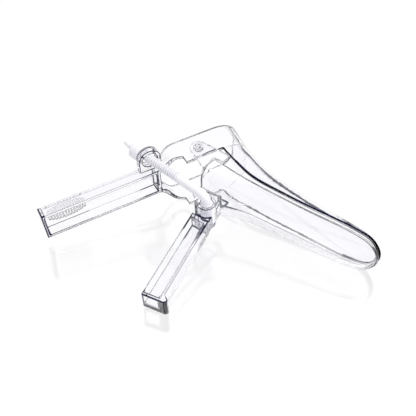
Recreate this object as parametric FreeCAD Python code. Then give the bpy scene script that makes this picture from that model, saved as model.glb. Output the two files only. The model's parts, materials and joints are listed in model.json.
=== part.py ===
import FreeCAD, Part
import math
import os

# Bivalve speculum of the side-screw kind: two clear moulded valves hinged at the collar, a white
# threaded screw that swivels in the lower valve, and its white nut. Millimetres. The hinge axis is Z
# through the origin, the closed blades point along +X, the upper valve is on the +Y side, and the
# two handles hang towards -Y. It is drawn with the blades closed and the handles spread.

# Walls and running clearances
wall = 1.6
ear_gap = 0.3
pivot_clearance = 0.05
post_clearance = 0.05
thread_clearance = 0.08

# Blades
blade_length = 107.2
blade_half_width = 13.6
blade_tip_half_width = 12.0
blade_gap = 2.4
blade_shape = 2.2
tip_round = 12.2
upper_crown_height = 18.9
upper_tip_height = 3.6
lower_crown_depth = 9.8
lower_tip_depth = 4.0

# How the upper blade opens out towards the mouth
crown_bend = 17.0
crown_flare = 4.0
crown_flare_length = 30.0
flare_power = 1.6
flare_start = 13.3
flare_length = 21.8
rim_fall = 14.0
root_shape_gain = 0.4
root_shape_length = 40.0
rim_corner_radius = 1.8

# How the lower blade opens out towards the hinge
lower_collar_depth = 12.6
lower_collar_shape = 6.0
lower_collar_edge = 10.8
lower_collar_bite = 0.15
lower_collar_length = 20.0
lower_shape_length = 26.0
lower_flare_length = 12.5
lower_level_start = 30.0
lower_power = 1.5

# Collar of the upper valve
collar_half_width = 17.3
band_ahead = 5.0
band_behind = 11.5
mouth_spring = 12.3
mouth_crown = 30.9
mouth_lip_rise = 2.3
mouth_floor = -21.5
mouth_shape = 2.6
side_bend_top = -10.0
side_bend_upper_pull = 0.57
side_bend_lower_pull = 0.43
band_lower_edge = -9.6
band_lower_ahead = 0.4
band_drop = 5.0
band_drop_back = 2.0
rim_rise = 4.0

# Hinge
stud_radius = 2.6
stud_bore_radius = 1.7
stud_proud = 0.5
ear_radius = 4.6

# Cheeks of the lower valve: their outline past the ear, seen from the side
cheek_foot_x = 8.2
cheek_foot_y = -9.6
cheek_toe_x = 10.2
cheek_toe_y = -11.0
cheek_bend_x = 12.2
cheek_bend_y = -2.8
cheek_end_x = 17.3
cheek_end_bottom = -1.8
cheek_end_top = 4.0

# Rear handle, part of the upper valve
rear_lean = 27.0
rear_length = 88.3
rear_depth = 7.35
rear_half_width = 8.4
rear_corner_radius = 1.2

# Grip ribs across the back of the rear handle
rib_count = 13
rib_pitch = 1.6
rib_radius = 0.45
rib_half_length = 5.0
rib_centre_from_end = 14.3

# Eye on the rear handle
eye_from_hinge = 25.2
eye_height = 6.8
eye_radius = 6.3
eye_bore_radius = 4.4
eye_thickness = 4.0

# Front handle, part of the lower valve
front_lean = 9.4
front_length = 85.3
front_offset = 11.4
front_depth = 10.0
front_half_width = 5.3
box_top = 31.8
toe_reach = 2.6
toe_length = 4.2

# Root of the front handle, narrower than the handle
root_half_width = 4.5
root_top = 11.0
root_cell_top = 14.5
root_step_start = 15.0
root_step_end = 19.0
slot_gap = 2.9

# Socket for the screw's post
post_from_hinge = 27.1
post_offset = 17.3
post_radius = 3.25
socket_radius = 4.9
socket_top = 10.8
post_foot_recess = 0.4

# Screw and nut
rod_radius = 2.5
rod_length = 60.5
rod_tip_base_radius = 2.1
rod_tip_radius = 1.2
rod_tip_length = 7.0
rod_tip_fillet = 0.5
elbow_radius = 4.0
shoulder_height = 1.0
nut_radius = 5.0
nut_length = 7.6
nut_nose_radius = 3.0
nut_nose_length = 2.0
nut_chamfer = 0.6
nut_gap = 1.0

# Sizes that follow from them
up = FreeCAD.Vector(0, 0, 1)
collar_inside = collar_half_width - wall
ear_inside = collar_half_width + ear_gap
ear_outside = ear_inside + wall
rear_web = -band_behind
rear_rim = rear_web + rear_depth
rear_floor = mouth_floor - wall * 1.5
front_back = front_offset + front_depth
box_top_drop = front_depth * math.tan(math.radians(front_lean))
cell_end = post_from_hinge
slot_end = box_top
slot_depth = post_offset - post_radius
tip_start = blade_length - tip_round
eye_axis_height = rear_half_width + eye_height
eye_middle = rear_web + eye_thickness / 2
beyond = 2 * wall


def turned(angle):
    """Direction in the XY plane, counted from +X."""
    return FreeCAD.Vector(math.cos(math.radians(angle)), math.sin(math.radians(angle)), 0)


# Each handle has its own directions: down its length, and ahead, towards the blades' side
rear_down = turned(270 - rear_lean)
rear_ahead = turned(-rear_lean)
front_down = turned(270 + front_lean)
front_ahead = turned(front_lean)


def rear_point(ahead, above, height=0.0):
    """Point of the upper valve: ahead of the hinge, above it against the handle, and height in Z."""
    return rear_ahead * ahead - rear_down * above + up * height


def front_point(ahead, down, height=0.0):
    """Point of the lower valve's handle: ahead of the hinge line, down the handle, height in Z."""
    return front_ahead * ahead + front_down * down + up * height


rim_corner = rear_point(band_ahead, mouth_spring)
post_foot = front_point(post_offset, post_from_hinge)
eye_centre = rear_point(eye_middle, -eye_from_hinge)
rod_run = (eye_centre - post_foot).Length
rod_along = (eye_centre - post_foot).normalize()


def prism(points, low, high):
    """Solid with a polygon outline in XY between two heights."""
    face = Part.Face(Part.makePolygon(points + points[:1]))
    face.translate(up * low - up * points[0].z)
    return face.extrude(up * (high - low))


def cylinder(radius, start, along, length):
    return Part.makeCylinder(radius, length, start, along)


def arch_edge(foot, rise, half_width, height, shape, count=15):
    """Arch over a foot point: a superellipse in the plane of Z and the rise direction."""
    points = []
    for step in range(count):
        angle = math.pi * step / (count - 1)
        across = math.copysign(abs(math.cos(angle)) ** (2 / shape), math.cos(angle))
        over = math.sin(angle) ** (2 / shape) if 0 < step < count - 1 else 0.0
        points.append(foot + up * (half_width * across) + rise * (height * over))
    curve = Part.BSplineCurve()
    curve.interpolate(Points=points, Parameters=[step / (count - 1) for step in range(count)])
    return curve.toShape()


def arch_wire(foot, rise, half_width, height, shape):
    """The arch closed by its straight foot line."""
    edge = arch_edge(foot, rise, half_width, height, shape)
    foot_line = Part.makeLine(edge.Vertexes[-1].Point, edge.Vertexes[0].Point)
    return Part.Wire([edge, foot_line])


# Blade forms

def fade(distance, length, power):
    """Falls from 1 to 0 over a length, slowing towards its end."""
    share = min(max(distance / length, 0.0), 1.0)
    return (1 - share) ** power


def plain_half_width(x):
    """Half-width of a blade before it opens out, a little narrower towards the tip."""
    return blade_half_width - (blade_half_width - blade_tip_half_width) * x / blade_length


def upper_half_width(x):
    """Half-width of the upper blade, which widens in an S-curve into its collar."""
    share = min(max((x - flare_start) / flare_length, 0.0), 1.0)
    swell = 1 - share * share * (3 - 2 * share)
    return plain_half_width(x) + (collar_half_width - plain_half_width(x)) * swell


def lower_half_width(x):
    """Half-width of the lower blade, which sweeps out to be flush with the cheeks."""
    spread = ear_outside - lower_collar_bite - plain_half_width(lower_collar_edge)
    return plain_half_width(x) + spread * math.exp(-max(x - lower_collar_edge, 0.0) / lower_flare_length)


def upper_rim(x):
    """Height of the upper valve's long edge, which climbs to the collar."""
    rest = blade_gap / 2
    return rest + (rim_corner.y - rest) * math.exp(-(x - rim_corner.x) / rim_fall)


def upper_crown(x):
    """Height of the upper blade's back, flaring towards the mouth."""
    slope = (upper_crown_height - upper_tip_height) / (blade_length - crown_bend)
    flare = crown_flare * fade(x - crown_bend, crown_flare_length, flare_power)
    return upper_crown_height - slope * (x - crown_bend) + flare


def lower_crown(x):
    """Depth of the lower blade's back under its rim."""
    share = min(max((x - lower_level_start) / (blade_length - lower_level_start), 0.0), 1.0)
    plain = lower_crown_depth - (lower_crown_depth - lower_tip_depth) * share ** 2
    swell = lower_collar_depth - lower_crown_depth
    return plain + swell * fade(x - lower_collar_edge, lower_collar_length, lower_power)


def tip_share(x, length):
    """Shrinks a section to nothing over the rounded tip."""
    past = max(x - tip_start, 0.0) / (length - tip_start)
    return math.sqrt(max(1 - past ** 2, 0.0))


def stations(start, length, shares):
    """Places of the sections: along the blade, then closer together round the tip."""
    along = [start + (tip_start - start) * share for share in shares]
    return along + [tip_start + (length - tip_start) * share for share in (0.0, 0.4, 0.7, 0.88, 0.97, 0.995)]


def upper_blade_solid(inset):
    """The upper blade's outside, or with an inset the hollow in it."""
    height = mouth_crown - mouth_lip_rise - mouth_spring
    sink = inset * 0.6
    first = rear_point(band_ahead, mouth_spring - sink)
    wires = [arch_wire(first, -rear_down, collar_half_width - inset, height - inset + sink, mouth_shape)]
    length = blade_length - inset
    for x in stations(rim_corner.x, length, (0.07, 0.165, 0.28, 0.47, 0.705)):
        rise = turned(90 - rear_lean * fade(x - rim_corner.x, crown_flare_length, flare_power))
        share = tip_share(x, length)
        rim = upper_rim(x)
        reach = upper_crown(x) - rim
        for _ in range(3):
            reach = (upper_crown(x + reach * rise.x) - rim) / rise.y
        shape = blade_shape + root_shape_gain * fade(x - rim_corner.x, root_shape_length, 1.0)
        foot = FreeCAD.Vector(x, rim, 0) - rise * sink
        half_width = (upper_half_width(x) - inset) * share
        wires.append(arch_wire(foot, rise, half_width, (reach - inset) * share + sink, shape))
    return Part.makeLoft(wires, True, False, False, 3)


def lower_blade_solid(inset):
    """The lower blade and collar from outside, or with an inset the hollow in them."""
    sink = inset * 0.6
    length = blade_length - inset
    start = lower_collar_edge - inset
    places = [start] + stations(lower_collar_edge, length, (0.026, 0.062, 0.11, 0.17, 0.264, 0.466, 0.703))
    wires = []
    for x in places:
        share = tip_share(x, length)
        squarer = fade(x - lower_collar_edge, lower_shape_length, lower_power)
        foot = FreeCAD.Vector(x, -blade_gap / 2 + sink, 0)
        half_width = (lower_half_width(x) - inset) * share
        depth = (lower_crown(x) - inset) * share + sink
        shape = blade_shape + (lower_collar_shape - blade_shape) * squarer
        wires.append(arch_wire(foot, FreeCAD.Vector(0, -1, 0), half_width, depth, shape))
    return Part.makeLoft(wires, True, False, False, 3)


# Upper valve

def collar_wire(ahead, inset, crown):
    """Horse-collar outline: an arch over straight sides that draw in to the handle's width."""
    foot = rear_point(ahead, mouth_spring)
    half = collar_half_width - inset
    narrow = rear_half_width - inset
    floor = mouth_floor if inset else rear_floor
    reach = floor - side_bend_top
    edges = [arch_edge(foot, -rear_down, half, crown - mouth_spring - inset, mouth_shape)]
    for side in (-1, 1):
        curve = Part.BezierCurve()
        curve.setPoles([rear_point(ahead, side_bend_top, side * half),
                        rear_point(ahead, side_bend_top + reach * side_bend_upper_pull, side * half),
                        rear_point(ahead, floor - reach * side_bend_lower_pull, side * narrow),
                        rear_point(ahead, floor, side * narrow)])
        edges.append(Part.makeLine(rear_point(ahead, mouth_spring, side * half),
                                   rear_point(ahead, side_bend_top, side * half)))
        edges.append(curve.toShape())
    edges.append(Part.makeLine(rear_point(ahead, floor, -narrow), rear_point(ahead, floor, narrow)))
    return Part.Wire(Part.__sortEdges__(edges))


def collar_solid(inset):
    behind = collar_wire(-band_behind - inset, inset, mouth_crown)
    ahead = collar_wire(band_ahead + inset, inset, mouth_crown - mouth_lip_rise)
    return Part.makeLoft([behind, ahead], True, True)


def collar_side_profile():
    """Side view of the collar: full band above, drawn back to the handle's rim below."""
    low = rear_point(band_lower_ahead, band_lower_edge)
    curve = Part.BezierCurve()
    curve.setPoles([low, rear_point(band_lower_ahead - band_drop_back, band_lower_edge - band_drop),
                    rear_point(rear_rim, mouth_floor + rim_rise), rear_point(rear_rim, rear_floor)])
    corners = [rear_point(rear_rim, rear_floor), rear_point(rear_web, rear_floor),
               rear_point(rear_web, mouth_crown + beyond), rear_point(band_ahead, mouth_crown + beyond),
               rear_point(band_ahead, band_lower_edge), low]
    edges = [curve.toShape()]
    edges += [Part.makeLine(corners[i], corners[i + 1]) for i in range(len(corners) - 1)]
    face = Part.Face(Part.Wire(Part.__sortEdges__(edges)))
    face.translate(up * -(collar_half_width + beyond))
    return face.extrude(up * 2 * (collar_half_width + beyond))


def rim_corner_webs():
    """Small webs that round the corner where the collar's front edge turns into the blade's rim."""
    r = rim_corner_radius
    past = rim_corner + FreeCAD.Vector(r, upper_rim(rim_corner.x + r) - rim_corner.y, 0)
    below = rim_corner + rear_down * r
    into = (rim_corner - (past + below) * 0.5).normalize()
    middle = (past + below) * 0.5 + into * (r * 0.22)
    inner = rim_corner + into * (wall / 2)
    webs = []
    for low in (collar_inside, -collar_half_width):
        base = up * low
        edges = [Part.Arc(past + base, middle + base, below + base).toShape(),
                 Part.makeLine(below + base, below + into * (wall / 2) + base),
                 Part.makeLine(below + into * (wall / 2) + base, inner + base),
                 Part.makeLine(inner + base, past + into * (wall / 2) + base),
                 Part.makeLine(past + into * (wall / 2) + base, past + base)]
        webs.append(Part.Face(Part.Wire(edges)).extrude(up * wall))
    return webs


def rear_handle():
    """Channel that opens towards the front handle, with its web at the back and a closed end."""
    r = rear_corner_radius
    w = rear_half_width
    quarter = r * (1 - math.sqrt(0.5))
    end = -rear_length
    start = rear_floor + wall

    def at(ahead, height):
        return rear_point(ahead, start, height)

    near_corner = Part.Arc(at(rear_web + r, -w), at(rear_web + quarter, -w + quarter), at(rear_web, -w + r))
    far_corner = Part.Arc(at(rear_web, w - r), at(rear_web + quarter, w - quarter), at(rear_web + r, w))
    outline = [Part.makeLine(at(rear_rim, -w), at(rear_web + r, -w)),
               near_corner.toShape(),
               Part.makeLine(at(rear_web, -w + r), at(rear_web, w - r)),
               far_corner.toShape(),
               Part.makeLine(at(rear_web + r, w), at(rear_rim, w)),
               Part.makeLine(at(rear_rim, w), at(rear_rim, -w))]
    body = Part.Face(Part.Wire(outline)).extrude(rear_down * (start - end))
    hollow = prism([rear_point(rear_web + wall, rear_floor), rear_point(rear_rim + beyond, rear_floor),
                    rear_point(rear_rim + beyond, end + wall), rear_point(rear_web + wall, end + wall)],
                   -w + wall, w - wall)
    return body.cut(hollow)


def grip_ribs():
    """Half-round ribs across the web, shorter towards both ends of the patch."""
    centre = rear_length - rib_centre_from_end
    ribs = []
    for number in range(rib_count):
        place = (number - (rib_count - 1) / 2) * rib_pitch
        half = rib_half_length * math.sqrt(1 - (place / (rib_pitch * (rib_count / 2 + 1))) ** 2)
        ribs.append(cylinder(rib_radius, rear_point(rear_web, -centre - place, -half), up, 2 * half))
    return ribs


def eye_bracket():
    """Round-topped eye that stands on the rear handle's side and lets the screw through."""
    back = rear_point(rear_web, -eye_from_hinge, eye_axis_height)
    disc = cylinder(eye_radius, back, rear_ahead, eye_thickness)
    foot = prism([rear_point(rear_web, -eye_from_hinge - eye_radius),
                  rear_point(rear_web + eye_thickness, -eye_from_hinge - eye_radius),
                  rear_point(rear_web + eye_thickness, -eye_from_hinge + eye_radius),
                  rear_point(rear_web, -eye_from_hinge + eye_radius)],
                 rear_half_width - wall / 2, eye_axis_height)
    bore = cylinder(eye_bore_radius, back - rear_ahead * wall, rear_ahead, eye_thickness + 2 * wall)
    return disc.fuse(foot).cut(bore)


def upper_valve():
    collar = collar_solid(0).cut(collar_solid(wall)).common(collar_side_profile())
    blade = upper_blade_solid(0).cut(upper_blade_solid(wall))
    studs = []
    bores = []
    for side in (-1, 1):
        inner = up * (side * collar_inside)
        studs.append(cylinder(stud_radius, inner, up * side, ear_outside + stud_proud - collar_inside))
        bore_length = ear_outside + beyond - collar_inside
        bores.append(cylinder(stud_bore_radius, inner - up * side * wall, up * side, bore_length))
    pieces = [blade, rear_handle(), eye_bracket()] + rim_corner_webs() + grip_ribs() + studs
    return collar.fuse(pieces).cut(bores).removeSplitter()


# Lower valve

def ear_tangent(target, side):
    """Point where a straight edge from the target touches the ear's round."""
    angle = math.atan2(target.y, target.x) + side * math.acos(ear_radius / target.Length)
    return FreeCAD.Vector(math.cos(angle), math.sin(angle), 0) * ear_radius


def cheeks():
    """Flat cheeks outside the collar: each carries an ear and runs on into the lower blade's side."""
    foot = FreeCAD.Vector(cheek_foot_x, cheek_foot_y, 0)
    top = FreeCAD.Vector(cheek_end_x, cheek_end_top, 0)
    forward = [FreeCAD.Vector(lower_collar_edge, cheek_toe_y, 0),
               FreeCAD.Vector(cheek_bend_x, cheek_bend_y, 0),
               FreeCAD.Vector(cheek_end_x, cheek_end_bottom, 0)]
    outline = [ear_tangent(foot, -1), foot, FreeCAD.Vector(cheek_toe_x, cheek_toe_y, 0)] + forward
    outline += [top, ear_tangent(top, 1)]
    filling = forward + [FreeCAD.Vector(cheek_end_x, -blade_gap / 2, 0),
                         FreeCAD.Vector(lower_collar_edge, -blade_gap / 2, 0)]
    solids = []
    for side in (-1, 1):
        near, far = sorted((side * ear_inside, side * ear_outside))
        solids.append(prism(outline, near, far))
        solids.append(cylinder(ear_radius, up * (side * ear_inside), up * side, wall))
        near, far = sorted((side * (ear_inside - wall), side * ear_outside))
        solids.append(prism(filling, near, far))
    return solids


def front_handle():
    """Channel that opens towards the rear handle, on a narrower root that runs up to the blade."""
    w = front_half_width
    n = root_half_width
    box = prism([front_point(front_offset, box_top), front_point(front_offset, front_length),
                 front_point(front_back, front_length),
                 front_point(front_back, box_top + box_top_drop)], -w, w)
    root = prism([front_point(front_offset, root_top), front_point(front_offset, slot_end + wall),
                  front_point(front_back, slot_end + wall + box_top_drop),
                  front_point(front_back, root_step_end),
                  front_point(front_back - wall, root_step_start),
                  front_point(front_back - wall, root_top)], -n, n)
    toe = prism([front_point(front_back, front_length - toe_length),
                 front_point(front_back + toe_reach, front_length - toe_length / 2),
                 front_point(front_back + toe_reach, front_length - toe_length / 4),
                 front_point(front_back + toe_reach / 2, front_length),
                 front_point(front_back - wall, front_length),
                 front_point(front_back - wall, front_length - toe_length)], -w, w)
    open_side = front_offset - beyond
    floor = front_back - wall
    channel = prism([front_point(open_side, box_top + wall), front_point(front_offset, box_top + wall),
                     front_point(floor, box_top + wall + box_top_drop),
                     front_point(floor, front_length - wall),
                     front_point(open_side, front_length - wall)], -w + wall, w - wall)
    root_cell = prism([front_point(open_side, root_cell_top), front_point(floor - wall, root_cell_top),
                       front_point(floor, root_step_end), front_point(floor, cell_end),
                       front_point(open_side, cell_end)], -n + wall, n - wall)
    slot = prism([front_point(open_side, slot_end - slot_gap), front_point(slot_depth, slot_end - slot_gap),
                  front_point(slot_depth, slot_end), front_point(open_side, slot_end)], -w - wall, w + wall)
    socket = cylinder(socket_radius, post_foot - up * n, up, n + socket_top)
    cheek = prism([front_point(front_offset, cell_end), front_point(post_offset, cell_end),
                   front_point(post_offset, slot_end - slot_gap),
                   front_point(front_offset, slot_end - slot_gap)], n - wall / 2, socket_top)
    return box.fuse(root).cut([channel, root_cell, slot]).fuse([toe, socket, cheek])


def lower_valve():
    holes = []
    for side in (-1, 1):
        start = up * (side * (ear_inside - wall))
        holes.append(cylinder(stud_radius + pivot_clearance, start, up * side, 3 * wall))
    post_hole = cylinder(post_radius + post_clearance, post_foot - up * (root_half_width + wall), up,
                         root_half_width + socket_top + beyond)
    whole = lower_blade_solid(0).fuse([front_handle()] + cheeks())
    return whole.cut([lower_blade_solid(wall), post_hole] + holes).removeSplitter()


# Screw and nut

def adjusting_screw():
    """Threaded rod over the handles, turned down at its near end into a post."""
    rod_start = post_foot + up * eye_axis_height + rod_along * elbow_radius
    plain = rod_length - elbow_radius - rod_tip_length
    rod = cylinder(rod_radius, rod_start, rod_along, plain)
    tip_foot = rod_start + rod_along * plain
    tip = Part.makeCone(rod_tip_base_radius, rod_tip_radius, rod_tip_length, tip_foot, rod_along)
    end_edge = [edge for edge in tip.Edges if edge.Closed and edge.Curve.Radius < rod_tip_base_radius]
    tip = tip.makeFillet(rod_tip_fillet, end_edge)
    shoulder_top = eye_axis_height - elbow_radius
    shoulder_foot = shoulder_top - shoulder_height
    bend_end = post_foot + up * shoulder_top
    bend_centre = bend_end + rod_along * elbow_radius
    bend_middle = bend_centre + (up - rod_along).normalize() * elbow_radius
    path = Part.Wire(Part.Arc(rod_start, bend_middle, bend_end).toShape())
    ring = Part.Wire(Part.makeCircle(rod_radius, rod_start, rod_along))
    elbow = path.makePipeShell([ring], True, True)
    shoulder = Part.makeCone(post_radius, rod_radius, shoulder_height, post_foot + up * shoulder_foot, up)
    foot = -root_half_width + post_foot_recess
    post = cylinder(post_radius, post_foot + up * foot, up, shoulder_foot - foot)
    return rod.fuse([tip, elbow, shoulder, post]).removeSplitter()


def lock_nut():
    """Round nut with a tapered nose that bears on the eye from outside."""
    nose = rod_run + eye_thickness / 2 + nut_gap
    bore = rod_radius + thread_clearance
    profile = [(nose, bore), (nose, nut_nose_radius), (nose + nut_nose_length, nut_radius),
               (nose + nut_length - nut_chamfer, nut_radius), (nose + nut_length, nut_radius - nut_chamfer),
               (nose + nut_length, bore)]
    axis_start = post_foot + up * eye_axis_height
    points = [axis_start + rod_along * along + up * out for along, out in profile]
    face = Part.Face(Part.makePolygon(points + points[:1]))
    return face.revolve(axis_start, rod_along, 360)


parts = {
    "upper_valve": upper_valve(),
    "lower_valve": lower_valve(),
    "adjusting_screw": adjusting_screw(),
    "lock_nut": lock_nut(),
}

os.makedirs("parts", exist_ok=True)
for name, shape in parts.items():
    solids = shape.Solids
    print(name, "solids", len(solids), "valid", shape.isValid(), "volume %.0f" % shape.Volume)
    solid = solids[0] if len(solids) == 1 else shape
    solid.exportStep(os.path.join("parts", name + ".step"))
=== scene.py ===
import json
import math
import bpy
import bmesh
from mathutils import Matrix, Vector


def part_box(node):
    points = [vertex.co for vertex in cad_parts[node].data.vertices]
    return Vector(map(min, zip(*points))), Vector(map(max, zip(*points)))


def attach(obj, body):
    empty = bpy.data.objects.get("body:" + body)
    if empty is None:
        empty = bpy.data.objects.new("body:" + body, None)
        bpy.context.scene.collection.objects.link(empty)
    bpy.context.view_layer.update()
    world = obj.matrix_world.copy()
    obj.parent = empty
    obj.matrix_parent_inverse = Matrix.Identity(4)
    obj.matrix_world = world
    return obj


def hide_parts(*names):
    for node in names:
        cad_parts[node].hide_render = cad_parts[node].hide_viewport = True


# A bivalve speculum lying on its side on a white table: two clear moulded valves, a white screw and nut.
# Lengths are in metres, written as so many times mm, unless a note says mm.
mm = 0.001

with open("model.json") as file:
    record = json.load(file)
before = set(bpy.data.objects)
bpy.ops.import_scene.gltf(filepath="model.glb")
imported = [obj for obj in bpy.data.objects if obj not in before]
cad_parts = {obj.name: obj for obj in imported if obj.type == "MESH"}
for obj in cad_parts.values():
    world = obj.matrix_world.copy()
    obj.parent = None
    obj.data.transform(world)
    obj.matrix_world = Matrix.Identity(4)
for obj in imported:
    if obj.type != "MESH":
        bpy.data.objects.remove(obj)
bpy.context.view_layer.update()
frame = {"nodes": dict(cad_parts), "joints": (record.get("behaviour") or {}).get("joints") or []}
nodes = frame["nodes"]
joints = {joint["name"]: joint for joint in frame["joints"]}
print("frame loaded:", ", ".join(sorted(nodes)))


# Small tools

noiseSpan = (0.3, 0.7)  # nearly all that a noise texture gives lies between these


def linearColour(hexText):
    channels = [int(hexText[i:i + 2], 16) / 255 for i in (1, 3, 5)]
    lin = [c / 12.92 if c <= 0.04045 else ((c + 0.055) / 1.055) ** 2.4 for c in channels]
    return (*lin, 1.0)


def addNode(tree, kind, settings=None, **inputs):
    # keys of inputs are socket names with spaces left out, or their numbers after an underscore
    node = tree.nodes.new(kind)
    for key, value in (settings or {}).items():
        setattr(node, key, value)
    for key, value in inputs.items():
        if key[0] == "_":
            socket = node.inputs[int(key[1:])]
        else:
            socket = next(s for s in node.inputs if s.enabled and s.name.replace(" ", "") == key)
        if isinstance(value, bpy.types.NodeSocket):
            tree.links.new(value, socket)
        else:
            socket.default_value = value
    return node


def anyRay(tree, *kinds):
    # 1 on rays of the kinds named, 0 on all others
    rays = addNode(tree, "ShaderNodeLightPath").outputs
    found = rays[kinds[0]]
    for kind in kinds[1:]:
        found = addNode(tree, "ShaderNodeMath", {"operation": "MAXIMUM"}, _0=found, _1=rays[kind]).outputs[0]
    return found


def newMaterial(name):
    material = bpy.data.materials.new(name)
    material.use_nodes = True
    material.node_tree.nodes.clear()
    return material, material.node_tree


def newObject(name, data):
    made = bpy.data.objects.new(name, data)
    bpy.context.scene.collection.objects.link(made)
    return made


# Weight of the painted shade lines along the clear plastic's edges, by place, each place over the ones before
# it.
# Places are in mm from the hinge: a ball, or all that lies beyond a distance along one or two directions.

shadeLineSizes = {
    "plain": 0.67,            # weight where no place says otherwise
    "dark": 0.8,              # from this weight on a line is fully dark, and up to 1 it also grows broad
    "core": 0.75,             # share of a ball's radius with its full weight
    "ramp": 1.0,              # mm in which a weight comes in along a direction
}

toTips = (1.0, 0.0, 0.0)
toNearSide = (0.0, 0.0, 1.0)
toFarSide = (0.0, 0.0, -1.0)
downRearHandle = (-0.454, -0.891, 0.0)
downFrontHandle = (0.163, -0.987, 0.0)

upperShadeLines = [
    {"beyond": [(downRearHandle, 32.0)], "weight": 0.42},
    {"beyond": [(downRearHandle, 62.0)], "weight": 0.76},                    # grip ribs
    {"beyond": [(toNearSide, 0.0), (downRearHandle, 32.0)], "weight": 0.42},  # the handle's near half
    {"beyond": [(toFarSide, 7.2), (downRearHandle, 32.0)], "weight": 0.8},   # its edges on the table's side
    {"centre": (0.0, 0.0, 18.0), "radius": 7.0, "weight": 0.3},              # stud in the near ear
    {"centre": (14.0, 2.0, 17.0), "radius": 12.0, "weight": 0.9},            # collar's corner at the blade
    {"centre": (-13.0, -15.0, -3.0), "radius": 17.0, "weight": 0.86},        # foot of the collar
    {"centre": (-19.0, -20.0, 17.0), "radius": 10.0, "weight": 0.84},        # eye
    {"beyond": [(toFarSide, 10.0), (toTips, 24.0)], "weight": 0.4},          # blade's rim on the table's side
    {"beyond": [(toNearSide, 11.0), (toTips, 20.0)], "weight": 1.0},         # blade's near rim
    {"beyond": [(toTips, 88.0)], "weight": 1.0},                             # blade's tip
    {"beyond": [(downRearHandle, 85.6)], "weight": 1.0},                     # rear handle's end
]
lowerShadeLines = [
    {"beyond": [(downFrontHandle, 42.0)], "weight": 0.48},
    {"beyond": [(toNearSide, 11.0)], "weight": 0.28},                        # near rim, ear and cheek
    {"beyond": [(toFarSide, 10.0), (toTips, 24.0)], "weight": 0.4},          # blade's rim on the table's side
    {"centre": (17.0, -3.0, -17.5), "radius": 12.0, "weight": 1.0},          # far cheek, behind two walls
    {"centre": (22.0, -31.0, 0.0), "radius": 13.0, "weight": 0.95},          # socket
    {"beyond": [(downFrontHandle, 81.6)], "weight": 0.9},                    # front handle's end
    {"beyond": [(toTips, 88.0)], "weight": 0.7},                             # blade's tip
]


def shadeLineWeight(tree, place, lines):
    weight = shadeLineSizes["plain"]
    for line in lines:
        mask = 1.0
        if "centre" in line:
            away = addNode(tree, "ShaderNodeVectorMath", {"operation": "DISTANCE"}, _0=place,
                           _1=[c * mm for c in line["centre"]])
            mask = addNode(tree, "ShaderNodeMapRange", Value=away.outputs["Value"],
                           FromMin=line["radius"] * shadeLineSizes["core"] * mm, FromMax=line["radius"] * mm,
                           ToMin=1.0, ToMax=0.0).outputs["Result"]
        for direction, begin in line.get("beyond", []):
            along = addNode(tree, "ShaderNodeVectorMath", {"operation": "DOT_PRODUCT"}, _0=place,
                            _1=direction)
            mask = addNode(tree, "ShaderNodeMapRange", Value=along.outputs["Value"], FromMin=begin * mm,
                           FromMax=(begin + shadeLineSizes["ramp"]) * mm, ToMax=mask).outputs["Result"]
        weight = addNode(tree, "ShaderNodeMapRange", Value=mask, ToMin=weight,
                         ToMax=line["weight"]).outputs["Result"]
    return weight


# Finishes

clearPlastic = {
    "body": "#FDFDFF",        # colourless
    "ior": 1.57,              # polystyrene
    "roughness": 0.012,       # off a polished mould
    "roughest": 0.03,         # where the plastic's flow shows
    "flowWidth": 16.0,        # mm between soft waves where the plastic flowed
    "flowHeight": 0.02 * mm,
    "flowDetail": 1.5,
    # painted shade: the near-black navy drawn along the plastic's edges in place of the light that they turn
    # away
    "edge": "#010112",
    # of a plain and of a broad edge: how far its line reaches, and how well the rounded and the true
    # normal agree where the line is full, and where it is gone
    "edgeReach": (0.8 * mm, 1.5 * mm),
    "edgeFull": (0.965, 0.99),
    "edgeNone": (0.998, 0.9995),
    "edgeSamples": 16,
    "grazeStart": 0.8,        # how far a wall is turned away when painted shade begins to darken it
    "grazeFull": 0.92,        # and when its painted shade is full
    "tint": "#B9B9D6",        # what a long way through it filters
    "tintDensity": 5.0,
    "shadow": "#FAFAFC",      # what one surface lets through to the table
}


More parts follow.
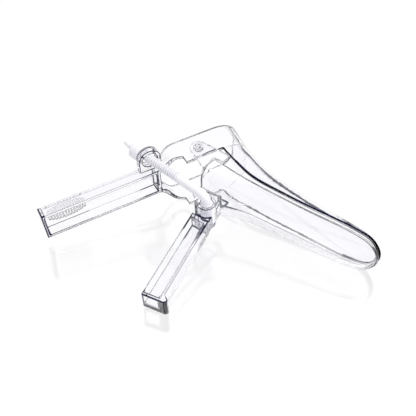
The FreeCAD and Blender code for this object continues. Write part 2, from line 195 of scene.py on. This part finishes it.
def crystalPolystyrene(name, lines):
    # Crystal polystyrene, injection moulded and unpainted: clear and bright; the dark lines at its edges and
    # on walls seen edge-on are painted shade
    material, tree = newMaterial(name)
    look = clearPlastic
    place = addNode(tree, "ShaderNodeTexCoord").outputs["Object"]
    waves = addNode(tree, "ShaderNodeTexNoise", Vector=place, Scale=1 / (look["flowWidth"] * mm),
                    Detail=look["flowDetail"], Roughness=0.4).outputs["Fac"]
    weight = shadeLineWeight(tree, place, lines)
    reach, full, none = [
        addNode(tree, "ShaderNodeMapRange", Value=weight, FromMin=shadeLineSizes["dark"], ToMin=plain,
                ToMax=broad).outputs["Result"]
        for plain, broad in (look["edgeReach"], look["edgeFull"], look["edgeNone"])]
    rounded = addNode(tree, "ShaderNodeBevel", {"samples": look["edgeSamples"]},
                      Radius=reach).outputs["Normal"]
    # where the rounded normal leaves the face's own, a navy line of painted shade is drawn along the edge,
    # standing in for the light that the edge turns away
    shape = addNode(tree, "ShaderNodeNewGeometry")
    agreement = addNode(tree, "ShaderNodeVectorMath", {"operation": "DOT_PRODUCT"}, _0=rounded,
                        _1=shape.outputs["Normal"])
    dark = addNode(tree, "ShaderNodeMapRange", Value=weight, FromMax=shadeLineSizes["dark"])
    edge = addNode(tree, "ShaderNodeMapRange", {"interpolation_type": "SMOOTHSTEP"},
                   Value=agreement.outputs["Value"], FromMin=full, FromMax=none,
                   ToMin=dark.outputs["Result"], ToMax=0.0)
    # a wall seen edge-on gets painted shade, standing in for the darkening that glass shows along a long path
    # through it
    grazing = addNode(tree, "ShaderNodeLayerWeight", Blend=0.5, Normal=rounded)
    paintedGrazeShade = addNode(tree, "ShaderNodeMapRange", {"interpolation_type": "SMOOTHSTEP"},
                     Value=grazing.outputs["Facing"], FromMin=look["grazeStart"], FromMax=look["grazeFull"])
    paintedShade = addNode(tree, "ShaderNodeMath", {"operation": "MAXIMUM"}, _0=edge.outputs["Result"],
                    _1=paintedGrazeShade.outputs["Result"])
    colours = addNode(tree, "ShaderNodeMix", {"data_type": "RGBA"}, Factor=paintedShade.outputs[0],
                      _6=linearColour(look["body"]), _7=linearColour(look["edge"]))
    rippled = addNode(tree, "ShaderNodeBump", Strength=1.0, Distance=look["flowHeight"], Height=waves,
                      Normal=rounded)
    haze = addNode(tree, "ShaderNodeMapRange", Value=waves, FromMin=noiseSpan[0], FromMax=noiseSpan[1],
                   ToMin=look["roughness"], ToMax=look["roughest"])
    # the painted shade darkens both the colour that passes through and the tint of the reflection
    body = addNode(tree, "ShaderNodeBsdfPrincipled", BaseColor=colours.outputs["Result"],
                   Roughness=haze.outputs["Result"], IOR=look["ior"], TransmissionWeight=1.0,
                   SpecularTint=colours.outputs["Result"], Normal=rippled.outputs["Normal"])
    depth = addNode(tree, "ShaderNodeVolumeAbsorption", Color=linearColour(look["tint"]),
                    Density=look["tintDensity"])
    # light that falls through the plastic on the table is let through with its slight filter
    letThrough = addNode(tree, "ShaderNodeBsdfTransparent", Color=linearColour(look["shadow"]))
    mixed = addNode(tree, "ShaderNodeMixShader", _0=anyRay(tree, "Is Shadow Ray", "Is Diffuse Ray"),
                    _1=body.outputs[0], _2=letThrough.outputs[0])
    addNode(tree, "ShaderNodeOutputMaterial", Surface=mixed.outputs[0], Volume=depth.outputs[0])
    return material


whitePlastic = {
    "body": "#F4F4F6",
    "shade": "#EAEAEE",       # a little greyer where the gate and the flow left it matt
    "ior": 1.49,
    "roughness": 0.28,
    "roughest": 0.38,         # in the matt patches
    "patchWidth": 5.0,        # mm
    "grain": 0.35,            # mm, fine spark-eroded grain of the mould
    "grainHeight": 0.006 * mm,
    "edgeRound": 0.3 * mm,
    "edgeSamples": 6,
    "hollow": "#8C8C9A",      # painted shade: the grey given to the bottom of a groove for the light lost there
    "hollowReach": 1.5 * mm,
    "hollowSamples": 8,
    "hollowSpan": (0.35, 0.85),  # how open a place is where it takes the full painted shade, and where it takes none
    "softness": 0.15,         # share of light that goes into the plastic
    "softDepth": 0.8 * mm,
}


def whitePolypropylene():
    # Polypropylene filled white, injection moulded: even, slightly waxy, with soft highlights and painted
    # shade in its grooves
    material, tree = newMaterial("whitePolypropylene")
    look = whitePlastic
    place = addNode(tree, "ShaderNodeTexCoord").outputs["Object"]
    patches = addNode(tree, "ShaderNodeTexNoise", Vector=place, Scale=1 / (look["patchWidth"] * mm),
                      Detail=2.0, Roughness=0.5).outputs["Fac"]
    colours = addNode(tree, "ShaderNodeMix", {"data_type": "RGBA"}, Factor=patches,
                      _6=linearColour(look["body"]), _7=linearColour(look["shade"]))
    grain = addNode(tree, "ShaderNodeTexNoise", Vector=place, Scale=1 / (look["grain"] * mm), Detail=1.0,
                    Roughness=0.5)
    rounded = addNode(tree, "ShaderNodeBevel", {"samples": look["edgeSamples"]}, Radius=look["edgeRound"])
    grainy = addNode(tree, "ShaderNodeBump", Strength=1.0, Distance=look["grainHeight"],
                     Height=grain.outputs["Fac"], Normal=rounded.outputs["Normal"])
    gloss = addNode(tree, "ShaderNodeMapRange", Value=patches, FromMin=noiseSpan[0], FromMax=noiseSpan[1],
                    ToMin=look["roughness"], ToMax=look["roughest"])
    # painted shade in the thread's grooves and other recesses, where local occlusion finds a place closed in
    grooves = addNode(tree, "ShaderNodeAmbientOcclusion",
                      {"samples": look["hollowSamples"], "only_local": True}, Distance=look["hollowReach"])
    openness = addNode(tree, "ShaderNodeMapRange", Value=grooves.outputs["AO"],
                       FromMin=look["hollowSpan"][0], FromMax=look["hollowSpan"][1])
    shaded = addNode(tree, "ShaderNodeMix", {"data_type": "RGBA"}, Factor=openness.outputs["Result"],
                     _6=linearColour(look["hollow"]), _7=colours.outputs["Result"])
    body = addNode(tree, "ShaderNodeBsdfPrincipled", BaseColor=shaded.outputs["Result"],
                   Roughness=gloss.outputs["Result"], IOR=look["ior"], Normal=grainy.outputs["Normal"],
                   SubsurfaceWeight=look["softness"], SubsurfaceScale=look["softDepth"],
                   SubsurfaceRadius=(1.0, 1.0, 1.0))
    addNode(tree, "ShaderNodeOutputMaterial", Surface=body.outputs[0])
    return material


white = whitePolypropylene()
print("white plastic mixed")


# The two clear valves are the CAD pieces themselves

valves = {
    "upper_valve": {
        "slot": "clear_plastic_upper",
        "material": "crystalPolystyreneUpper",
        "lines": upperShadeLines,
    },
    "lower_valve": {
        "slot": "clear_plastic_lower",
        "material": "crystalPolystyreneLower",
        "lines": lowerShadeLines,
    },
}

for valveName, valveLook in valves.items():
    valve = nodes[valveName]
    valve.data.materials.clear()
    valve.data.materials.append(crystalPolystyrene(valveLook["material"], valveLook["lines"]))
print("valves finished")


# Screw: one moulding swept along its bent axis, with its thread cut by the same tree

screwSizes = {
    "rodRadius": 2.5 * mm,
    "elbowRadius": 4.0 * mm,
    "elbowSteps": 14,
    "postRadius": 3.25 * mm,
    "shoulderLength": 1.0 * mm,
    "threadPitch": 1.5 * mm,
    "threadDepth": 0.6 * mm,
    "threadRun": 0.69,        # share of the rod that carries thread, from its tip end
    "grooveFloor": 0.075,     # share of the pitch from a groove's middle to the end of its floor
    "grooveMouth": 0.44,      # and to the crest
    "tipLength": 7.0 * mm,
    "tipBaseRadius": 2.1 * mm,
    "tipRadius": 1.2 * mm,
    "tipFlat": 0.35,          # share of the radius that is left where the tip ends
    "ringsPerTurn": 14,
    "sides": 44,
    "mergeWithin": 0.001 * mm,
}


def screwTree():
    tree = bpy.data.node_groups.new("adjustingScrew", "GeometryNodeTree")
    tree.interface.new_socket("Geometry", in_out="INPUT", socket_type="NodeSocketGeometry")
    tree.interface.new_socket("Geometry", in_out="OUTPUT", socket_type="NodeSocketGeometry")
    for name in ("Rod Radius", "Elbow Radius", "Post Radius", "Post End", "Shoulder End", "Ring Gap",
                 "Thread Pitch", "Thread Depth", "Thread Start", "Thread Full", "Thread Fade",
                 "Groove Floor", "Groove Mouth", "Tip Start", "Tip Round", "Tip End", "Tip Base Radius",
                 "Tip Radius", "Tip Flat"):
        tree.interface.new_socket(name, in_out="INPUT", socket_type="NodeSocketFloat")
    for name in ("Elbow Steps", "Sides"):
        tree.interface.new_socket(name, in_out="INPUT", socket_type="NodeSocketInt")
    tree.interface.new_socket("Material", in_out="INPUT", socket_type="NodeSocketMaterial")
    given = addNode(tree, "NodeGroupInput").outputs

    axis = addNode(tree, "GeometryNodeMeshToCurve", Mesh=given["Geometry"])
    bend = addNode(tree, "GeometryNodeFilletCurve", {"mode": "POLY"}, Curve=axis.outputs[0],
                   Count=given["Elbow Steps"], Radius=given["Elbow Radius"])
    steps = addNode(tree, "GeometryNodeResampleCurve", {"mode": "LENGTH"}, Curve=bend.outputs[0],
                    Length=given["Ring Gap"])
    along = addNode(tree, "GeometryNodeSplineParameter").outputs["Length"]
    marked = addNode(tree, "GeometryNodeStoreNamedAttribute", {"data_type": "FLOAT", "domain": "POINT"},
                     Geometry=steps.outputs[0], Name="along", Value=along)
    position = addNode(tree, "GeometryNodeInputPosition").outputs[0]
    placed = addNode(tree, "GeometryNodeStoreNamedAttribute",
                     {"data_type": "FLOAT_VECTOR", "domain": "POINT"}, Geometry=marked.outputs[0],
                     Name="axisPlace", Value=position)

    # radius along the axis: post, shoulder, rod, then the thin tip with its end rounded over
    shoulder = addNode(tree, "ShaderNodeMapRange", Value=along, FromMin=given["Post End"],
                       FromMax=given["Shoulder End"], ToMin=given["Post Radius"], ToMax=given["Rod Radius"])
    taper = addNode(tree, "ShaderNodeMapRange", Value=along, FromMin=given["Tip Start"],
                    FromMax=given["Tip End"], ToMin=given["Tip Base Radius"], ToMax=given["Tip Radius"])
    onTip = addNode(tree, "ShaderNodeMath", {"operation": "GREATER_THAN"}, _0=along, _1=given["Tip Start"])
    radius = addNode(tree, "ShaderNodeMix", {"data_type": "FLOAT"}, Factor=onTip.outputs[0],
                     A=shoulder.outputs[0], B=taper.outputs[0])
    late = addNode(tree, "ShaderNodeMapRange", Value=along, FromMin=given["Tip Round"],
                   FromMax=given["Tip End"]).outputs[0]
    square = addNode(tree, "ShaderNodeMath", {"operation": "MULTIPLY"}, _0=late, _1=late)
    rest = addNode(tree, "ShaderNodeMath", {"operation": "SUBTRACT"}, _0=1.0, _1=square.outputs[0])
    dome = addNode(tree, "ShaderNodeMath", {"operation": "SQRT"}, _0=rest.outputs[0])
    eased = addNode(tree, "ShaderNodeMapRange", Value=dome.outputs[0], ToMin=given["Tip Flat"])
    drawnIn = addNode(tree, "ShaderNodeMath", {"operation": "MULTIPLY"}, _0=radius.outputs[0],
                      _1=eased.outputs[0])

    ring = addNode(tree, "GeometryNodeCurvePrimitiveCircle", {"mode": "RADIUS"}, Resolution=given["Sides"],
                   Radius=1.0)
    turn = addNode(tree, "GeometryNodeSplineParameter").outputs["Factor"]
    turned = addNode(tree, "GeometryNodeStoreNamedAttribute", {"data_type": "FLOAT", "domain": "POINT"},
                     Geometry=ring.outputs[0], Name="turn", Value=turn)
    swept = addNode(tree, "GeometryNodeCurveToMesh", Curve=placed.outputs[0], ProfileCurve=turned.outputs[0],
                    Scale=drawnIn.outputs[0], FillCaps=True)

    # thread: a groove that climbs one pitch each turn, faded in at both ends of its run
    alongRead, turnRead = [
        addNode(tree, "GeometryNodeInputNamedAttribute", {"data_type": "FLOAT"}, Name=name).outputs[0]
        for name in ("along", "turn")]
    axisRead = addNode(tree, "GeometryNodeInputNamedAttribute", {"data_type": "FLOAT_VECTOR"},
                       Name="axisPlace").outputs[0]
    pitches = addNode(tree, "ShaderNodeMath", {"operation": "DIVIDE"}, _0=alongRead, _1=given["Thread Pitch"])
    climbing = addNode(tree, "ShaderNodeMath", {"operation": "SUBTRACT"}, _0=pitches.outputs[0], _1=turnRead)
    fromGroove = addNode(tree, "ShaderNodeMath", {"operation": "PINGPONG"}, _0=climbing.outputs[0], _1=0.5)
    fadeIn = addNode(tree, "ShaderNodeMapRange", Value=alongRead, FromMin=given["Thread Start"],
                     FromMax=given["Thread Full"], ToMax=given["Thread Depth"])
    fadeOut = addNode(tree, "ShaderNodeMapRange", Value=alongRead, FromMin=given["Thread Fade"],
                      FromMax=given["Tip Start"], ToMin=fadeIn.outputs[0], ToMax=0.0)
    cut = addNode(tree, "ShaderNodeMapRange", {"interpolation_type": "SMOOTHSTEP"},
                  Value=fromGroove.outputs[0], FromMin=given["Groove Mouth"], FromMax=given["Groove Floor"],
                  ToMax=fadeOut.outputs[0])
    inward = addNode(tree, "ShaderNodeVectorMath", {"operation": "SUBTRACT"}, _0=axisRead, _1=position)
    inwardUnit = addNode(tree, "ShaderNodeVectorMath", {"operation": "NORMALIZE"}, _0=inward.outputs[0])
    offset = addNode(tree, "ShaderNodeVectorMath", {"operation": "SCALE"}, _0=inwardUnit.outputs[0],
                     Scale=cut.outputs[0])
    threaded = addNode(tree, "GeometryNodeSetPosition", Geometry=swept.outputs[0], Offset=offset.outputs[0])

    realized = addNode(tree, "GeometryNodeRealizeInstances", Geometry=threaded.outputs[0])
    finished = addNode(tree, "GeometryNodeSetMaterial", Geometry=realized.outputs[0],
                       Material=given["Material"])
    addNode(tree, "NodeGroupOutput", _0=finished.outputs[0])
    return tree


def meshFromTree(name, baseMesh, tree, values):
    # the modifier's inputs are set by identifier, then its result is kept as a plain mesh
    carrier = newObject(name + "Carrier", baseMesh)
    modifier = carrier.modifiers.new("shape", "NODES")
    modifier.node_group = tree
    for item in tree.interface.items_tree:
        if item.in_out == "INPUT" and item.name in values:
            modifier[item.identifier] = values[item.name]
    bpy.context.view_layer.update()
    evaluated = carrier.evaluated_get(bpy.context.evaluated_depsgraph_get())
    mesh = bpy.data.meshes.new_from_object(evaluated)
    carrier.modifiers.remove(modifier)
    bpy.data.objects.remove(carrier)
    mesh.name = name
    return newObject(name, mesh)


def closeSweep(piece):
    # seams merged, faces turned outwards, the tree's own marks dropped, all but the two end caps smooth
    work = bmesh.new()
    work.from_mesh(piece.data)
    bmesh.ops.remove_doubles(work, verts=work.verts, dist=screwSizes["mergeWithin"])
    bmesh.ops.recalc_face_normals(work, faces=work.faces)
    work.to_mesh(piece.data)
    work.free()
    for name in ("along", "turn", "axisPlace"):
        if name in piece.data.attributes:
            piece.data.attributes.remove(piece.data.attributes[name])
    for polygon in piece.data.polygons:
        polygon.use_smooth = len(polygon.vertices) <= 4


screwLow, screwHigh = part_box("adjusting_screw")
postAxis = Vector(joints["screw_swivel"]["pos_m"])
rodDirection = -Vector(joints["nut_travel"]["axis"]).normalized()
rodHeight = screwHigh.z - screwSizes["rodRadius"]
tipReach = (postAxis.x - screwLow.x - screwSizes["tipRadius"] * abs(rodDirection.y)) / abs(rodDirection.x)
corner = Vector((postAxis.x, postAxis.y, rodHeight))
rodEnd = corner + rodDirection * tipReach
axisMesh = bpy.data.meshes.new("screwAxis")
axisMesh.from_pydata([(postAxis.x, postAxis.y, screwLow.z), corner, rodEnd], [(0, 1), (1, 2)], [])

# distances along the bent axis, from the post's foot
postLength = rodHeight - screwLow.z
shoulderEnd = postLength - screwSizes["elbowRadius"]
savedAtElbow = (2 - math.pi / 2) * screwSizes["elbowRadius"]
tipEnd = postLength + tipReach - savedAtElbow
tipStart = tipEnd - screwSizes["tipLength"]
threadStart = tipEnd - tipReach * screwSizes["threadRun"]

screw = meshFromTree("threadedScrew", axisMesh, screwTree(), {
    "Rod Radius": screwSizes["rodRadius"],
    "Elbow Radius": screwSizes["elbowRadius"],
    "Elbow Steps": screwSizes["elbowSteps"],
    "Post Radius": screwSizes["postRadius"],
    "Post End": shoulderEnd - screwSizes["shoulderLength"],
    "Shoulder End": shoulderEnd,
    "Thread Pitch": screwSizes["threadPitch"],
    "Thread Depth": screwSizes["threadDepth"],
    "Thread Start": threadStart,
    "Thread Full": threadStart + screwSizes["threadPitch"],
    "Thread Fade": tipStart - screwSizes["threadPitch"],
    "Groove Floor": screwSizes["grooveFloor"],
    "Groove Mouth": screwSizes["grooveMouth"],
    "Tip Start": tipStart,
    "Tip Round": tipEnd - screwSizes["tipRadius"],
    "Tip End": tipEnd,
    "Tip Base Radius": screwSizes["tipBaseRadius"],
    "Tip Radius": screwSizes["tipRadius"],
    "Tip Flat": screwSizes["tipFlat"],
    "Ring Gap": screwSizes["threadPitch"] / screwSizes["ringsPerTurn"],
    "Sides": screwSizes["sides"],
    "Material": white,
})
closeSweep(screw)
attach(screw, "screw_body")
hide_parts("adjusting_screw")
print("screw swept:", len(screw.data.polygons), "faces")


# The nut is the CAD piece itself

nodes["lock_nut"].data.materials.clear()
nodes["lock_nut"].data.materials.append(white)
print("nut finished")


# Table: the plane that the part really rests on when it lies on its side

tableSizes = {
    "size": 3.0,
    "gap": 0.02 * mm,         # keeps the table's face from lying in the part's own
    "steepest": -0.5,         # a face whose normal has a higher z can't be the one it rests on
    "body": "#FBFBFD",
    "white": "#FFFFFF",
    "ior": 1.5,
    "roughness": 0.16,
    "roughest": 0.208,
    "cloudWidth": 111.0,      # mm from one matter patch to the next
    "mirrorShare": 0.2,
    "mirrorHaze": 0.12,
    "whiteShare": 0.93,       # of the white that the camera sees whatever the light
}


def centreOfMass():
    # from the tetrahedra that each triangle makes with the origin
    total, weighted = 0.0, Vector()
    for node in nodes.values():
        for polygon in node.data.polygons:
            a, b, c = [node.data.vertices[i].co for i in polygon.vertices]
            volume = a.dot(b.cross(c)) / 6
            total += volume
            weighted += (a + b + c) / 4 * volume
    return weighted / total


def restingPlane():
    # the face of the convex hull that lies straight under the centre of mass
    hull = bmesh.new()
    for node in nodes.values():
        for vertex in node.data.vertices:
            hull.verts.new(vertex.co)
    result = bmesh.ops.convex_hull(hull, input=hull.verts)
    centre = centreOfMass()
    found = None
    for face in [f for f in result["geom"] if isinstance(f, bmesh.types.BMFace)]:
        if face.normal.z > tableSizes["steepest"]:
            continue
        corners = [v.co for v in face.verts]
        under = True
        for start, end in zip(corners, corners[1:] + corners[:1]):
            side = (end - start).cross(centre - start).dot(face.normal)
            under = under and side >= 0
        if under:
            found = (corners[0].copy(), -face.normal.copy())
    hull.free()
    return found


def lacqueredTable():
    # White lacquered board: pale and even, with a faint mirror of what stands on it
    material, tree = newMaterial("whiteLacquer")
    look = tableSizes
    place = addNode(tree, "ShaderNodeTexCoord").outputs["Object"]
    cloud = addNode(tree, "ShaderNodeTexNoise", Vector=place, Scale=1 / (look["cloudWidth"] * mm), Detail=2.0)
    haze = addNode(tree, "ShaderNodeMapRange", Value=cloud.outputs["Fac"], FromMin=noiseSpan[0],
                   FromMax=noiseSpan[1], ToMin=look["roughness"], ToMax=look["roughest"])
    body = addNode(tree, "ShaderNodeBsdfPrincipled", BaseColor=linearColour(look["body"]),
                   Roughness=haze.outputs["Result"], IOR=look["ior"])
    glow = addNode(tree, "ShaderNodeEmission", Color=linearColour(look["white"]), Strength=1.0)
    mirror = addNode(tree, "ShaderNodeBsdfGlossy", Color=linearColour(look["white"]),
                     Roughness=look["mirrorHaze"])
    paper = addNode(tree, "ShaderNodeMixShader", _0=look["mirrorShare"], _1=glow.outputs[0],
                    _2=mirror.outputs[0])
    seen = anyRay(tree, "Is Camera Ray", "Is Glossy Ray", "Is Transmission Ray")
    share = addNode(tree, "ShaderNodeMath", {"operation": "MULTIPLY"}, _0=seen, _1=look["whiteShare"])
    mixed = addNode(tree, "ShaderNodeMixShader", _0=share.outputs[0], _1=body.outputs[0], _2=paper.outputs[0])
    addNode(tree, "ShaderNodeOutputMaterial", Surface=mixed.outputs[0])
    return material


planePoint, planeUp = restingPlane()
planeTurn = planeUp.to_track_quat("Z", "Y").to_matrix().to_4x4()
print("rests at", [round(v / mm, 2) for v in planePoint], "up", [round(v, 4) for v in planeUp])

half = tableSizes["size"] / 2
tableMesh = bpy.data.meshes.new("table")
tableCorners = [(-half, -half, 0), (half, -half, 0), (half, half, 0), (-half, half, 0)]
tableMesh.from_pydata(tableCorners, [], [(0, 1, 2, 3)])
tableMesh.transform(Matrix.Translation(planePoint - planeUp * tableSizes["gap"]) @ planeTurn)
tableMesh.materials.append(lacqueredTable())
table = newObject("table", tableMesh)
print("table laid")


# Dark card round the set, out of view, that the plastic's edges bend into sight

cardSizes = {
    "radius": 0.55,
    "low": -0.02,
    "high": 0.2,
    "sides": 48,
    "colour": "#14122E",
    "napColour": "#1B1838",
    "napWidth": 25.0,         # mm
    "roughness": 0.9,
}


def navyCard():
    # Card faced with navy paper: matt and even, with a little nap
    material, tree = newMaterial("darkCard")
    look = cardSizes
    place = addNode(tree, "ShaderNodeTexCoord").outputs["Object"]
    nap = addNode(tree, "ShaderNodeTexNoise", Vector=place, Scale=1 / (look["napWidth"] * mm), Detail=2.0)
    colours = addNode(tree, "ShaderNodeMix", {"data_type": "RGBA"}, Factor=nap.outputs["Fac"],
                      _6=linearColour(look["colour"]), _7=linearColour(look["napColour"]))
    body = addNode(tree, "ShaderNodeBsdfPrincipled", BaseColor=colours.outputs["Result"],
                   Roughness=look["roughness"])
    addNode(tree, "ShaderNodeOutputMaterial", Surface=body.outputs[0])
    return material


def darkCard():
    count = cardSizes["sides"]
    radius = cardSizes["radius"]
    points = []
    for height in (cardSizes["low"], cardSizes["high"]):
        for i in range(count):
            angle = 2 * math.pi * i / count
            points.append((radius * math.cos(angle), radius * math.sin(angle), height))
    faces = [(i, i + count, (i + 1) % count + count, (i + 1) % count) for i in range(count)]
    ringMesh = bpy.data.meshes.new("card")
    ringMesh.from_pydata(points, [], faces)
    ringMesh.transform(Matrix.Translation(planePoint) @ planeTurn)
    ringMesh.materials.append(navyCard())
    ring = newObject("card", ringMesh)
    # only rays that have gone through the plastic meet it
    ring.visible_camera = False
    ring.visible_diffuse = False
    ring.visible_glossy = False
    ring.visible_shadow = False
    return ring


darkCard()
print("card set up")


# Light

lightSizes = {
    "world": 0.64,            # what reaches the object, while the eye sees a world of full white
    "fill": "#FBFAFF",        # what fills the shadows, a breath of lavender
    "white": "#FFFFFF",
    "panel": 0.9,
    "panelPower": 8.4,
    "panelPlace": (0.3, 0.25, 0.9),
}

world = bpy.data.worlds.new("studio")
bpy.context.scene.world = world
world.use_nodes = True
world.node_tree.nodes.clear()
skyTree = world.node_tree
seen = anyRay(skyTree, "Is Camera Ray", "Is Glossy Ray", "Is Transmission Ray")
level = addNode(skyTree, "ShaderNodeMapRange", Value=seen, ToMin=lightSizes["world"])
skyColour = addNode(skyTree, "ShaderNodeMix", {"data_type": "RGBA"}, Factor=seen,
                    _6=linearColour(lightSizes["fill"]), _7=linearColour(lightSizes["white"]))
sky = addNode(skyTree, "ShaderNodeBackground", Color=skyColour.outputs["Result"], Strength=level.outputs[0])
addNode(skyTree, "ShaderNodeOutputWorld", Surface=sky.outputs[0])

panelData = bpy.data.lights.new("softbox", "AREA")
panelData.shape = "RECTANGLE"
panelData.size = lightSizes["panel"]
panelData.size_y = lightSizes["panel"]
panelData.energy = lightSizes["panelPower"]
panelPlace = Vector(lightSizes["panelPlace"])
panel = newObject("softbox", panelData)
panel.location = panelPlace
panel.rotation_euler = panelPlace.to_track_quat("Z", "Y").to_euler()
panel.visible_glossy = False  # so that no view finds its mirror image in the table
print("lit")


# Camera, solved from the photograph's own perspective

cameraSizes = {
    "elevation": 49.78,       # degrees above the hinge's mid-plane
    "turn": 36.0,             # degrees from the photo's right-hand direction to the blades' own
    "roll": -1.86,
    "across": -4.704 * mm,    # where the hinge stands from the middle of the view
    "above": 19.996 * mm,
    "distance": 333.38 * mm,
    "focalPixels": 600.0,
    "pixels": 416,
    "sensor": 36.0,           # mm
    "nearest": 0.01,
}


def placeCamera():
    look = cameraSizes
    elevation, turn, roll = [math.radians(look[key]) for key in ("elevation", "turn", "roll")]
    toCad = Matrix.Rotation(turn, 3, "Z")
    ahead = toCad @ Vector((0, math.cos(elevation), -math.sin(elevation)))
    right = toCad @ Vector((1, 0, 0))
    up = right.cross(ahead)
    rightRolled = right * math.cos(roll) + up * math.sin(roll)
    upRolled = up * math.cos(roll) - right * math.sin(roll)
    place = -(rightRolled * look["across"] + upRolled * look["above"] + ahead * look["distance"])
    data = bpy.data.cameras.new("camera")
    data.sensor_width = look["sensor"]
    data.lens = look["sensor"] * look["focalPixels"] / look["pixels"]
    data.clip_start = look["nearest"]
    camera = newObject("camera", data)
    axes = Matrix((rightRolled, upRolled, -ahead)).transposed().to_4x4()
    camera.matrix_world = Matrix.Translation(place) @ axes
    bpy.context.scene.camera = camera


placeCamera()
scene = bpy.context.scene
scene.view_settings.view_transform = "Standard"
scene.cycles.max_bounces = 32           # rays pass both walls of both valves, in and out, several times
scene.cycles.transmission_bounces = 28
scene.cycles.glossy_bounces = 12
scene.cycles.transparent_max_bounces = 24
print("camera placed")
